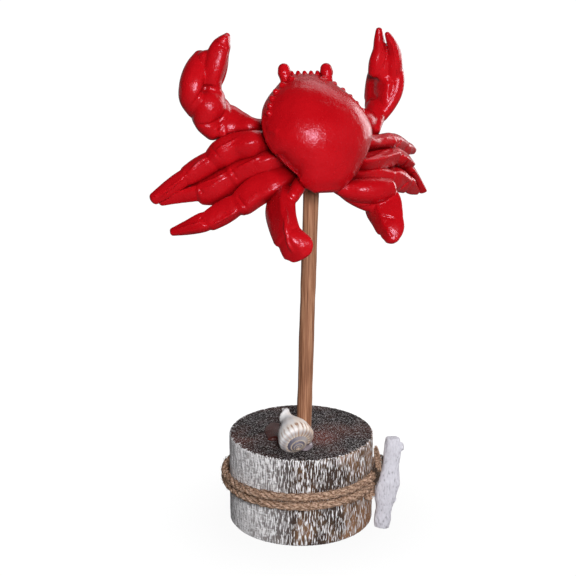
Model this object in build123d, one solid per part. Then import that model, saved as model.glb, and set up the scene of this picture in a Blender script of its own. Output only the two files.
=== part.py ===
from build123d import *
import math
import os

# Crab figurine on a dowel, standing on a round log-slice foot. Millimetres, +Z up.
# The origin is the middle of the foot's underside and the crab shows its back to -Y.

# Log-slice foot
BASE_RADIUS = 28.5
BASE_HEIGHT = 36.2
BASE_EDGE = 0.9
BASE_BORE_DEPTH = 22.0

# Dowel between foot and crab
STICK_RADIUS = 3.0
STICK_FOOT_X = 1.0
STICK_FOOT_Y = 1.5
STICK_LEAN = 1.5
STICK_TOP = 118.0
STICK_FIT = 0.05

# Jute twine, two turns laid down the foot's side
TWINE_DIAMETER = 3.2
TWINE_PITCH = 3.7
TWINE_CLEARANCE = 0.1
TWINE_START_ANGLE = -25.0
TWINE_START_HEIGHT = 22.3
TWINE_QUARTERS = 8

# Seashell lying on the foot, spire towards -Y: x, y and height over the foot's top
SHELL_APEX = (-0.3, -20.5, 3.6)
SHELL_CANAL = (-5.8, -5.0, 12.0)
SHELL_PROFILE = [
    (0.0, 0.5),
    (0.8, 1.8),
    (1.4, 2.1),
    (2.0, 3.4),
    (2.8, 3.8),
    (3.4, 5.5),
    (5.0, 6.5),
    (7.0, 6.8),
    (9.0, 6.5),
    (11.0, 5.7),
    (13.0, 4.6),
    (15.0, 3.4),
    (17.0, 2.4),
    (18.4, 1.6),
]
SHELL_GLUE_CENTRE = (-3.6, -10.5)
SHELL_GLUE_SIZE = (8.6, 9.8, 2.0)

# Whitewashed twig standing beside the foot: x beyond the foot's radius, y, z, radius
TWIG = [
    (3.0, -12.0, 0.4, 3.0),
    (3.9, -12.2, 7.0, 2.9),
    (4.5, -12.0, 11.0, 3.5),
    (5.4, -11.8, 16.0, 4.1),
    (6.2, -12.0, 20.5, 4.0),
    (6.5, -12.3, 25.0, 3.4),
    (6.8, -12.1, 30.0, 3.4),
    (7.0, -11.9, 34.5, 3.6),
    (7.0, -12.0, 38.6, 3.0),
]
# Broken side shoots of the twig: root measured like the twig, direction, length, radius
TWIG_STUBS = [
    ((8.0, -12.0, 35.6), (1.0, -0.1, 0.15), 4.2, 1.3),
    ((5.7, -12.0, 12.0), (0.8, -0.1, -0.6), 4.6, 1.3),
    ((3.5, -12.4, 13.0), (-0.6, -0.5, -0.65), 3.6, 1.0),
]
TWIG_STUB_TAPER = 0.7
TWIG_GLUE_CENTRE = (2.4, -9.4, 22.6)
TWIG_GLUE_SIZE = (3.5, 3.6, 8.0)

# Crab's place from the dowel's top, and its pose: its own +Y is the head, its own +Z its back
CRAB_PLACE = (0.4, -1.0, 6.6)
CRAB_YAW = 27.0
CRAB_NOSE_UP = 57.0
CRAB_ROLL = -4.0

# Upper casting, in the crab's frame: y, half width, height over the split
CARAPACE = [
    (18.2, 6.0, 1.4),
    (16.0, 9.0, 4.6),
    (13.0, 12.0, 8.0),
    (9.5, 15.4, 11.0),
    (5.5, 18.4, 13.4),
    (1.0, 20.4, 15.0),
    (-4.0, 21.4, 16.0),
    (-9.0, 21.0, 16.2),
    (-14.0, 18.6, 15.0),
    (-18.5, 15.2, 12.4),
    (-22.0, 11.8, 9.2),
    (-24.6, 8.6, 5.8),
    (-26.4, 5.0, 2.4),
]
# Teeth of the margin on one side: x, y, outward x, outward y, length, radius
SIDE_TEETH = [
    (11.6, 13.2, 0.60, 0.80, 2.4, 1.2),
    (14.0, 10.8, 0.66, 0.75, 2.4, 1.3),
    (16.2, 8.2, 0.72, 0.69, 2.4, 1.3),
    (18.0, 5.4, 0.78, 0.62, 2.4, 1.3),
    (19.4, 2.4, 0.86, 0.50, 2.4, 1.3),
    (20.2, -1.2, 0.98, 0.18, 3.0, 1.5),
]
FRONT_TEETH_X = [-4.6, -2.3, 0.0, 2.3, 4.6]
FRONT_TOOTH_Y = 17.0
FRONT_TOOTH_LENGTH = 2.8
FRONT_TOOTH_RADIUS = 1.0
TOOTH_HEIGHT = 1.2
TOOTH_TIP = 0.25

# Lower casting: y, half width, depth under the split
UNDERBODY = [
    (16.0, 8.0, 2.5),
    (11.0, 12.6, 6.5),
    (5.0, 16.4, 9.5),
    (-2.0, 18.4, 11.5),
    (-9.0, 17.8, 12.0),
    (-15.0, 14.6, 11.0),
    (-20.0, 10.8, 8.0),
    (-24.5, 6.6, 3.5),
]

# Stalked eyes
EYE_RADIUS = 2.05
EYE_CENTRE = (8.75, 19.4, 2.6)
EYE_STALK_FOOT = (8.4, 12.0, 1.7)
EYE_OFFSET = -0.8
EYE_STALK_RADIUS = 1.3

# Pegs that hold the limbs in the lower casting
PEG_RADIUS = 1.6
PEG_FIT = 0.1

# Ratio of a limb's thickness to its width
LEG_DEPTH = 0.78
CLAW_DEPTH = 0.82

# Limbs, in the crab's frame: x, y, z, half width, and half depth where it differs
LEFT_LEG_1 = [[
    (-15.0, -6.4, -4.5, 3.2),
    (-20.4, -6.0, -5.4, 3.6),
    (-23.9, -5.6, -8.0, 4.3),
    (-27.9, -5.0, -12.0, 4.4),
    (-32.5, -5.6, -15.0, 4.2),
    (-35.6, -6.3, -17.8, 3.7),
    (-36.4, -6.6, -18.4, 3.1),
    (-41.0, -8.5, -22.0, 3.2),
    (-45.0, -10.1, -24.5, 2.9),
    (-45.8, -10.5, -25.0, 2.3),
    (-50.4, -13.0, -29.0, 2.0),
    (-55.4, -15.2, -33.0, 0.7),
]]
LEFT_LEG_2 = [[
    (-12.0, -13.0, -4.5, 3.0),
    (-17.5, -13.6, -7.5, 3.5),
    (-22.0, -13.5, -12.0, 3.6),
    (-26.5, -13.8, -16.0, 3.5),
    (-29.0, -14.1, -18.0, 3.4),
    (-29.9, -14.3, -18.7, 2.8),
    (-35.7, -16.1, -22.5, 3.4),
    (-39.7, -16.5, -25.0, 3.3),
    (-40.6, -16.7, -25.6, 2.7),
    (-47.0, -16.9, -29.5, 2.2),
    (-54.3, -18.0, -33.4, 0.7),
]]
LEFT_LEG_3 = [[
    (-10.6, -18.8, -5.0, 2.7),
    (-16.5, -22.0, -8.0, 4.2),
    (-22.0, -22.8, -13.0, 4.9),
    (-26.5, -25.5, -16.5, 4.8),
    (-28.5, -26.4, -18.0, 4.5),
    (-29.4, -26.6, -18.6, 3.6),
    (-34.1, -27.8, -22.0, 4.0),
    (-39.0, -29.0, -24.5, 3.8),
    (-39.9, -29.1, -25.0, 3.0),
    (-45.5, -29.8, -29.0, 2.3),
    (-51.2, -29.7, -33.0, 0.7),
]]
LEFT_LEG_4 = [[
    (-5.0, -19.0, -3.4, 2.4, 2.2),
    (-9.4, -26.0, -2.4, 2.9, 2.5),
    (-15.0, -30.0, -1.0, 3.6, 3.0),
    (-16.5, -31.6, -0.6, 3.0, 2.4),
], [
    (-15.0, -29.4, -1.0, 2.8, 2.2),
    (-18.2, -32.6, -0.2, 4.7, 2.8),
    (-20.4, -36.1, 0.2, 5.7, 2.7),
    (-21.4, -40.8, 0.6, 5.7, 2.2),
    (-21.0, -45.4, 1.0, 6.1, 1.8),
    (-19.0, -49.2, 1.0, 6.4, 1.5),
    (-17.2, -51.9, 1.0, 4.6, 1.1),
    (-16.8, -54.0, 1.0, 1.6, 0.6),
]]
RIGHT_LEG_1 = [[
    (14.5, -7.5, -4.5, 2.4),
    (20.6, -7.4, -5.0, 2.4),
    (29.3, -5.4, -10.0, 2.2),
    (39.0, -3.1, -15.7, 2.5),
    (39.9, -2.9, -16.3, 2.0),
    (44.5, -2.2, -19.6, 2.3),
    (51.3, -1.6, -25.7, 2.0),
    (52.2, -1.5, -26.5, 1.6),
    (55.1, -1.4, -29.0, 1.3),
    (59.6, -1.1, -33.0, 0.6),
]]
RIGHT_LEG_2 = [[
    (12.0, -14.0, -4.5, 2.8),
    (18.7, -15.0, -6.0, 3.0),
    (28.4, -11.8, -11.0, 2.9),
    (38.3, -8.7, -16.0, 2.7),
    (39.2, -8.6, -16.6, 2.3),
    (43.4, -8.5, -19.0, 2.7),
    (47.8, -9.5, -22.0, 2.6),
    (48.6, -9.9, -22.6, 2.1),
    (54.3, -13.5, -27.5, 1.9),
    (59.6, -18.4, -32.0, 0.6),
]]
RIGHT_LEG_3 = [[
    (10.4, -18.8, -5.0, 2.7),
    (16.4, -22.0, -6.5, 3.4),
    (26.6, -19.9, -11.0, 3.4),
    (35.9, -18.8, -16.0, 3.3),
    (36.8, -18.8, -16.6, 2.7),
    (40.5, -18.7, -19.0, 3.2),
    (46.2, -18.7, -23.0, 3.0),
    (47.0, -18.7, -23.6, 2.4),
    (50.9, -19.0, -27.0, 2.2),
    (56.1, -19.5, -31.0, 0.6),
]]
RIGHT_LEG_4 = [[
    (5.5, -19.0, -3.5, 2.4, 2.2),
    (8.6, -25.4, -3.2, 2.9, 2.5),
    (14.0, -27.8, -2.4, 3.3, 2.9),
    (20.0, -28.0, -1.0, 3.5, 3.0),
    (24.6, -28.4, -0.3, 3.3, 2.8),
    (26.0, -28.7, -0.1, 1.8, 1.6),
], [
    (23.4, -26.6, -0.4, 2.2, 2.0),
    (21.4, -30.8, 0.0, 6.2, 2.8),
    (20.0, -34.4, 0.2, 8.0, 2.6),
    (19.5, -38.3, 0.6, 7.6, 2.3),
    (19.9, -42.4, 1.0, 6.7, 1.9),
    (20.9, -46.0, 1.0, 5.0, 1.4),
    (21.2, -48.9, 1.0, 2.0, 0.7),
]]
LEFT_CLAW = [[
    (-13.5, 2.0, -5.5, 2.4),
    (-17.9, 1.6, -7.5, 2.6),
    (-21.9, 2.3, -9.2, 3.3),
    (-24.5, 4.2, -12.0, 4.9),
    (-28.0, 6.3, -14.6, 6.8),
    (-31.5, 7.2, -16.0, 7.6),
    (-32.5, 8.4, -16.2, 6.5),
    (-34.5, 11.7, -16.0, 6.7),
    (-36.7, 14.5, -15.0, 5.8),
], [
    (-35.8, 12.4, -15.2, 4.2),
    (-38.0, 14.9, -13.0, 6.2),
    (-39.0, 18.4, -11.0, 7.2),
    (-38.8, 22.1, -8.5, 6.7),
    (-38.4, 25.0, -6.0, 5.6),
    (-38.3, 27.3, -4.0, 3.9),
    (-38.3, 28.8, -3.0, 2.0),
], [
    (-35.8, 17.0, -9.4, 3.0),
    (-34.7, 21.3, -5.0, 3.8),
    (-34.0, 24.7, -2.0, 3.8),
    (-33.8, 27.5, 0.5, 3.7),
    (-33.2, 29.4, 2.5, 3.2),
    (-32.2, 30.8, 3.7, 2.2),
    (-30.7, 32.8, 5.0, 0.7),
], [
    (-34.5, 18.6, -12.4, 3.2),
    (-31.6, 22.4, -11.2, 3.5),
    (-30.4, 25.0, -8.3, 3.2),
    (-30.0, 27.7, -4.9, 2.8),
    (-29.8, 30.3, -1.9, 2.1),
    (-29.8, 32.6, 1.5, 0.9),
]]
RIGHT_CLAW = [[
    (13.5, 1.0, -5.0, 2.6),
    (19.5, 0.4, -6.5, 2.9),
    (26.8, 1.6, -9.5, 3.3),
    (33.0, 4.6, -13.0, 4.2),
    (34.0, 5.2, -13.6, 3.6),
    (36.2, 8.4, -14.2, 4.9),
    (36.8, 11.0, -13.6, 4.4),
], [
    (36.1, 8.6, -14.2, 3.6),
    (36.8, 11.4, -13.0, 6.0),
    (37.8, 14.3, -11.0, 7.1),
    (38.5, 18.7, -8.5, 7.2),
    (38.3, 21.8, -6.0, 6.4),
    (38.0, 23.6, -4.8, 4.8),
], [
    (35.2, 18.4, -8.8, 3.2),
    (34.9, 24.3, -5.0, 3.6),
    (35.1, 26.9, -2.5, 3.4),
    (34.9, 30.0, 0.0, 2.6),
    (33.6, 33.0, 2.5, 1.4),
    (33.2, 35.4, 4.0, 0.5),
], [
    (40.6, 17.4, -5.8, 3.2),
    (40.0, 22.6, -1.8, 3.5),
    (39.2, 25.3, 0.6, 3.1),
    (38.5, 27.9, 2.8, 2.3),
    (37.0, 30.1, 5.0, 1.6),
    (35.0, 32.5, 6.5, 0.5),
]]

# Directions that the limbs' broad faces look in, in the crab's frame
LEFT_FACE = Vector(-0.44, -0.34, 0.83)
RIGHT_FACE = Vector(0.2, -0.34, 0.92)


def crab_pose():
    place = Location(Vector(*stick_point(STICK_TOP)) + Vector(*CRAB_PLACE))
    return place * Rot(0, 0, CRAB_YAW) * Rot(CRAB_NOSE_UP, 0, 0) * Rot(0, 0, CRAB_ROLL)


def skin(stations, face, depth_ratio):
    """Ruled skin through ellipses that stand square to the middle line of the stations."""
    points = [Vector(s[0], s[1], s[2]) for s in stations]
    sections = []
    for i, station in enumerate(stations):
        before = points[max(i - 1, 0)]
        after = points[min(i + 1, len(points) - 1)]
        run = (after - before).normalized()
        across = run.cross(face).normalized()
        half_width = station[3]
        half_depth = station[4] if len(station) > 4 else half_width * depth_ratio
        plane = Plane(origin=points[i], x_dir=across, z_dir=run)
        sections.append(plane * Ellipse(half_width, half_depth))
    return loft(sections, ruled=True)


def limb(runs, face, depth_ratio):
    whole = skin(runs[0], face, depth_ratio)
    for stations in runs[1:]:
        whole = whole + skin(stations, face, depth_ratio)
    return whole


def rod(start, end, radius):
    """Round bar between two points."""
    start = Vector(*start)
    end = Vector(*end)
    bar = Cylinder(radius, (end - start).length, align=(Align.CENTER, Align.CENTER, Align.MIN))
    return Plane(origin=start, z_dir=end - start) * bar


def spike(root, direction, length, radius, tip):
    cone = Cone(radius, tip, length, align=(Align.CENTER, Align.CENTER, Align.MIN))
    return Plane(origin=root, z_dir=Vector(*direction)) * cone


def root_peg(runs, fit):
    """Peg along the first stretch of a limb, or its socket where a fit is given."""
    return rod(runs[0][0][:3], runs[0][1][:3], PEG_RADIUS + fit)


def half_shell(rows, up):
    """Loft through half ellipses on one side of the split between the castings."""
    sections = []
    for y, half_width, height in rows:
        arc = EllipticalCenterArc((0, 0), half_width, height, start_angle=0 if up else 180, arc_size=180)
        face = make_face([arc, Line(arc @ 1, arc @ 0)])
        sections.append(Plane(origin=(0, y, 0), x_dir=(1, 0, 0), z_dir=(0, -1, 0)) * face)
    return loft(sections, ruled=True)


def stick_point(along):
    """Point on the dowel's middle line, measured from the top of the foot."""
    lean = math.radians(STICK_LEAN)
    x = STICK_FOOT_X + along * math.sin(lean)
    return (x, STICK_FOOT_Y, BASE_HEIGHT + along * math.cos(lean))


def twine_node(quarter):
    """Point and direction of the twine's middle line after a number of quarter turns."""
    radius = BASE_RADIUS + TWINE_CLEARANCE + TWINE_DIAMETER / 2
    angle = math.radians(TWINE_START_ANGLE - 90 * quarter)
    height = TWINE_START_HEIGHT - TWINE_PITCH * quarter / 4
    slope = -TWINE_PITCH / (2 * math.pi * radius)
    point = Vector(radius * math.cos(angle), radius * math.sin(angle), height)
    direction = Vector(math.sin(angle), -math.cos(angle), slope).normalized()
    return point, direction


def biarc(p0, t0, p1, t1):
    """Two arcs that join two points and keep both directions."""
    v = p1 - p0
    t = t0 + t1
    a = 2 * (t0.dot(t1) - 1)
    b = -2 * v.dot(t)
    c = v.dot(v)
    d = (-b - math.sqrt(b * b - 4 * a * c)) / (2 * a)
    q0 = p0 + t0 * d
    q1 = p1 - t1 * d
    middle = (q0 + q1) * 0.5
    first = TangentArc(p0, middle, tangent=t0)
    second = TangentArc(middle, p1, tangent=q1 - q0)
    return [first, second]


def make_twine():
    nodes = [twine_node(q) for q in range(TWINE_QUARTERS + 1)]
    head, head_run = nodes[0]
    tail, tail_run = nodes[-1]
    edges = [Line(head - head_run * TWINE_DIAMETER, head)]
    for (p0, t0), (p1, t1) in zip(nodes, nodes[1:]):
        edges += biarc(p0, t0, p1, t1)
    edges.append(Line(tail, tail + tail_run * TWINE_DIAMETER))
    path = Wire(edges)
    least = 1e9
    samples = 240
    points = [path @ (i / samples) for i in range(samples + 1)]
    apart = math.ceil(3 * TWINE_DIAMETER * samples / path.length)
    for i in range(samples + 1):
        for j in range(i + apart, samples + 1):
            least = min(least, (points[i] - points[j]).length - TWINE_DIAMETER)
    print(f"twine: length {path.length:.1f} mm, least gap to itself {least:.2f} mm")
    start = Plane(origin=edges[0] @ 0, z_dir=head_run)
    return sweep(start * Circle(TWINE_DIAMETER / 2), path=path)


def make_base():
    base = Cylinder(BASE_RADIUS, BASE_HEIGHT, align=(Align.CENTER, Align.CENTER, Align.MIN))
    base = fillet(base.edges(), BASE_EDGE)
    return base - rod(stick_point(-BASE_BORE_DEPTH), stick_point(10), STICK_RADIUS + STICK_FIT)


def make_shell():
    apex = Vector(*SHELL_APEX) + Vector(0, 0, BASE_HEIGHT)
    axis = Vector(*SHELL_CANAL) - Vector(*SHELL_APEX)
    corners = [(r, s) for s, r in SHELL_PROFILE]
    first = SHELL_PROFILE[0][0]
    last = SHELL_PROFILE[-1][0]
    outline = Polyline(*([(0, first)] + corners + [(0, last)]), close=True)
    profile = Plane.XZ * make_face(outline)
    return Plane(origin=apex, z_dir=axis) * revolve(profile, Axis.Z)


def make_shell_glue(shell, stick):
    x, y = SHELL_GLUE_CENTRE
    dome = Pos(x, y, BASE_HEIGHT) * scale(Sphere(1), by=SHELL_GLUE_SIZE)
    room = [3 * size for size in SHELL_GLUE_SIZE]
    slab = Pos(x, y, BASE_HEIGHT) * Box(*room, align=(Align.CENTER, Align.CENTER, Align.MIN))
    return (dome & slab) - shell - stick


def make_twig():
    twig = skin(TWIG, Vector(0, 1, 0), 1.0)
    for root, direction, length, radius in TWIG_STUBS:
        twig = twig + spike(root, direction, length, radius, radius * TWIG_STUB_TAPER)
    return Pos(BASE_RADIUS, 0, 0) * twig


def make_twig_glue(base, twine, twig):
    blob = Pos(*TWIG_GLUE_CENTRE) * scale(Sphere(1), by=TWIG_GLUE_SIZE)
    return Pos(BASE_RADIUS, 0, 0) * blob - base - twine - twig


def make_carapace():
    shell = half_shell(CARAPACE, True)
    for x, y, out_x, out_y, length, radius in SIDE_TEETH:
        for side in (-1, 1):
            shell = shell + spike((side * x, y, TOOTH_HEIGHT), (side * out_x, out_y, 0), length, radius, TOOTH_TIP)
    for x in FRONT_TEETH_X:
        root = (x, FRONT_TOOTH_Y, TOOTH_HEIGHT)
        shell = shell + spike(root, (0, 1, 0), FRONT_TOOTH_LENGTH, FRONT_TOOTH_RADIUS, TOOTH_TIP)
    room = 4 * max(half_width for y, half_width, height in CARAPACE)
    slab = Box(room, room, room, align=(Align.CENTER, Align.CENTER, Align.MIN))
    return shell & slab


def make_eye(side):
    foot = (side * EYE_STALK_FOOT[0] + EYE_OFFSET, EYE_STALK_FOOT[1], EYE_STALK_FOOT[2])
    ball = (side * EYE_CENTRE[0] + EYE_OFFSET, EYE_CENTRE[1], EYE_CENTRE[2])
    eye = rod(foot, ball, EYE_STALK_RADIUS) + Pos(*ball) * Sphere(EYE_RADIUS)
    return eye, rod(foot, ball, EYE_STALK_RADIUS + PEG_FIT)


def one(name, shape):
    solids = shape.solids()
    print(f"{name}: {len(solids)} solid, {sum(s.volume for s in solids):.1f} mm3")
    return max(solids, key=lambda s: s.volume)


pose = crab_pose()
parts = {}

base = make_base()
stick = rod(stick_point(STICK_FIT - BASE_BORE_DEPTH), stick_point(STICK_TOP), STICK_RADIUS)
twine = make_twine()
shell = make_shell()
twig = make_twig()
parts["base_disc"] = base
parts["stick"] = stick
parts["twine"] = twine
parts["seashell"] = shell
parts["shell_glue"] = make_shell_glue(shell, stick)
parts["white_twig"] = twig
parts["twig_glue"] = make_twig_glue(base, twine, twig)

carapace = make_carapace()
underbody = half_shell(UNDERBODY, False)

raw_limbs = {}
sides = [("left", LEFT_FACE, (LEFT_LEG_1, LEFT_LEG_2, LEFT_LEG_3, LEFT_LEG_4), LEFT_CLAW)]
sides.append(("right", RIGHT_FACE, (RIGHT_LEG_1, RIGHT_LEG_2, RIGHT_LEG_3, RIGHT_LEG_4), RIGHT_CLAW))
sockets = []
for side, face, legs, claw in sides:
    previous = None
    for number, runs in enumerate(legs, start=1):
        leg = limb(runs, face, LEG_DEPTH)
        raw_limbs[f"{side}_leg_{number}"] = (leg, runs, previous)
        previous = leg + root_peg(runs, 0)
    arm = limb(claw, face, CLAW_DEPTH)
    raw_limbs[f"{side}_claw"] = (arm, claw, raw_limbs[f"{side}_leg_1"][0])

for name, (shape, runs, neighbour) in raw_limbs.items():
    shape = shape - underbody - carapace
    if neighbour is not None:
        shape = shape - neighbour
    sockets.append(root_peg(runs, PEG_FIT))
    shape = max(shape.solids(), key=lambda s: s.volume)
    parts[name] = pose * (Part(shape.wrapped) + root_peg(runs, 0))

for side, name in ((-1, "left_eye"), (1, "right_eye")):
    eye, socket = make_eye(side)
    carapace = carapace - socket
    parts[name] = pose * eye
for socket in sockets:
    underbody = underbody - socket
bore = rod(stick_point(STICK_TOP / 2), stick_point(STICK_TOP + STICK_FIT), STICK_RADIUS + STICK_FIT)
parts["carapace"] = pose * carapace
parts["underbody"] = pose * underbody - bore

os.makedirs("parts", exist_ok=True)
for name, shape in parts.items():
    export_step(one(name, shape), f"parts/{name}.step")
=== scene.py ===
from math import cos, pi, radians, sin, sqrt

import bpy
import numpy as np
from mathutils import Matrix, Vector, noise
from mathutils.bvhtree import BVHTree


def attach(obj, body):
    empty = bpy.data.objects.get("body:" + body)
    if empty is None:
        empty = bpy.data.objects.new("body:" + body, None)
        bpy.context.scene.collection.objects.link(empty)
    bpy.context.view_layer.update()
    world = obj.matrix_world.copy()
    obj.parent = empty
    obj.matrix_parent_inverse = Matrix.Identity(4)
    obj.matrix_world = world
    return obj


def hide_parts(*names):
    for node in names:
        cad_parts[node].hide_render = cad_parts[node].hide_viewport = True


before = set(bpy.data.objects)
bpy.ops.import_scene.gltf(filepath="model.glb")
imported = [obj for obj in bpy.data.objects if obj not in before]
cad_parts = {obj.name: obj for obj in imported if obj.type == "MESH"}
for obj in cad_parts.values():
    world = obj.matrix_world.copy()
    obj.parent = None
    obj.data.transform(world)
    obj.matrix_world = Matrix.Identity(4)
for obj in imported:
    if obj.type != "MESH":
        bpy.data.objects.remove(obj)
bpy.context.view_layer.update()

# Crab figurine on a dowel. Lengths are millimetres unless a name says metres.
MM = 0.001
UP = (0, 0, 1)
BACK = (0, 1, 0)

# Photograph's camera, in metres and degrees
PHOTO_SIDE = 576
CAMERA_PLACE = Vector((-0.0052, -0.5498, 0.2684))
CAMERA_TILT = 17.45
CAMERA_LENS = 93.75
CAMERA_SENSOR = 36.0

# Crab's place and pose, as in the frame: its own +Y is the head, its own +Z its back
CRAB_ORIGIN = (4.489, 0.5, 160.76)
CRAB_YAW = 27.0
CRAB_NOSE_UP = 57.0
CRAB_ROLL = -4.0

# Grain of the cast meshes, and passes that soften their creases
CAST_VOXEL = 0.32
EYE_VOXEL = 0.2
DROP_VOXEL = 0.3
CAST_PASSES = 4
OTHER_PASSES = {
    "left_claw_skin": 16, "right_claw_skin": 12, "right_leg_4_skin": 7, "left_leg_4_skin": 7,
    "shell_glue_drop": 8, "twig_glue_drop": 6, "white_twig_bark": 3,
}
# Distance over which painted shade darkens the recesses of the castings
PAINTED_SHADE_REACH = 10.0
# Rings of a tube's round ends, as shares of their length, and points over a dome
CAP_STEPS = (0.99, 0.9, 0.72, 0.4)
DOME_SIDES = 41
# Lines on a mesh: steps between two points, and fading to their ends
LINE_STEPS = 4
LINE_FADE = 5.0
LINE_END = 0.15

# Upper casting, in the crab's frame: y, half width, height over the split, lean to the right
CARAPACE = [
    (18.2, 6.0, 1.4, -0.8), (16.0, 9.0, 4.6, -1.2), (13.0, 12.0, 8.0, -1.5), (9.5, 15.4, 11.0, -1.6),
    (5.5, 18.4, 13.4, -1.3), (1.0, 20.4, 15.0, -0.7), (-4.0, 21.4, 16.0, -0.1), (-9.0, 21.0, 16.2, 0.1),
    (-14.0, 18.6, 15.0, 0.0), (-18.5, 15.4, 12.6, 0.0), (-22.0, 12.4, 9.8, 0.0), (-25.8, 9.2, 6.4, -0.5),
    (-28.6, 4.6, 2.2, -1.0),
]
# How far both castings reach over the split
CARAPACE_LAP = 0.8
UNDERBODY_LAP = 0.4
# Its rim: height over the split, radius, and first y, last y and stations
RIM_HEIGHT = 0.9
RIM_RADIUS = 0.35
RIM_REACH = (2.0, -25.0, 14)
# Its side teeth: foot and tip as way in, way along y and radius
TOOTH_HEIGHT = 4.6
SIDE_TEETH_Y = [14.6, 12.2, 9.6, 6.9, 4.1, 1.3]
SIDE_TEETH_SHIFT = 0.3
SIDE_TOOTH = [(0.8, -0.4, 1.4), (0.2, 0.1, 1.26)]
# Its front teeth: foot and tip as y and radius
FRONT_TOOTH_HEIGHT = 1.2
FRONT_TEETH_X = [-6.0, -3.3, -0.6, 2.1, 4.8]
FRONT_TOOTH = [(17.6, 1.1), (18.7, 0.88)]

# Lower casting: y, half width, depth under the split, lean to the right
UNDERBODY = [
    (16.0, 8.0, 2.5, -0.8), (11.0, 13.0, 6.5, -1.2), (5.0, 17.6, 9.5, -0.8), (-2.0, 20.6, 11.5, 0.0),
    (-9.0, 20.0, 12.0, 0.8), (-15.0, 17.0, 11.0, 1.4), (-20.0, 13.0, 8.0, 1.6), (-25.5, 8.0, 3.5, 0.6),
]
# Mouth plate of the right side, and the way that it faces
MOUTH_PLATE = [(2.2, 15.0, -1.6, 1.7, 1.0), (2.7, 11.5, -5.4, 2.4, 1.3), (2.2, 8.2, -8.0, 1.4, 1.0)]
MOUTH_FACE = (0, 0.7, -0.7)

# Stalked eyes: shift of both, and the right one's middle line with radii
EYE_OFFSET = -0.8
EYE = [(8.4, 12.6, 1.8, 2.1), (8.5, 16.2, 2.1, 2.15), (8.7, 18.1, 2.4, 2.5), (8.75, 19.5, 2.6, 2.25)]

# Directions that the limbs' broad faces look in
LEFT_FACE = (-0.44, -0.34, 0.83)
ARM_FACE = (-0.35, 0.25, 0.9)
RIGHT_FACE = (0.2, -0.34, 0.92)
NEAR_FACE = (-0.3, -0.26, 0.92)
UNDER_FACE = (-0.33, -0.64, 0.80)
PADDLE_FACE = (-0.73, -0.15, 0.67)
PALM_FACE = (-0.98, 0.01, 0.19)
FACES = {
    "left_leg_1": [LEFT_FACE], "left_leg_2": [LEFT_FACE], "left_leg_3": [LEFT_FACE],
    "left_leg_4": [PADDLE_FACE], "right_leg_4": [PADDLE_FACE], "right_leg_2": [UNDER_FACE],
    "right_leg_1": [UNDER_FACE, RIGHT_FACE], "right_leg_3": [NEAR_FACE, RIGHT_FACE],
    "left_claw": [ARM_FACE, LEFT_FACE, LEFT_FACE, LEFT_FACE, ARM_FACE, LEFT_FACE],
    "right_claw": [RIGHT_FACE, RIGHT_FACE, RIGHT_FACE, PALM_FACE, RIGHT_FACE],
}
LEG_DEPTH = 0.78
CLAW_DEPTH = 0.82

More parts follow.
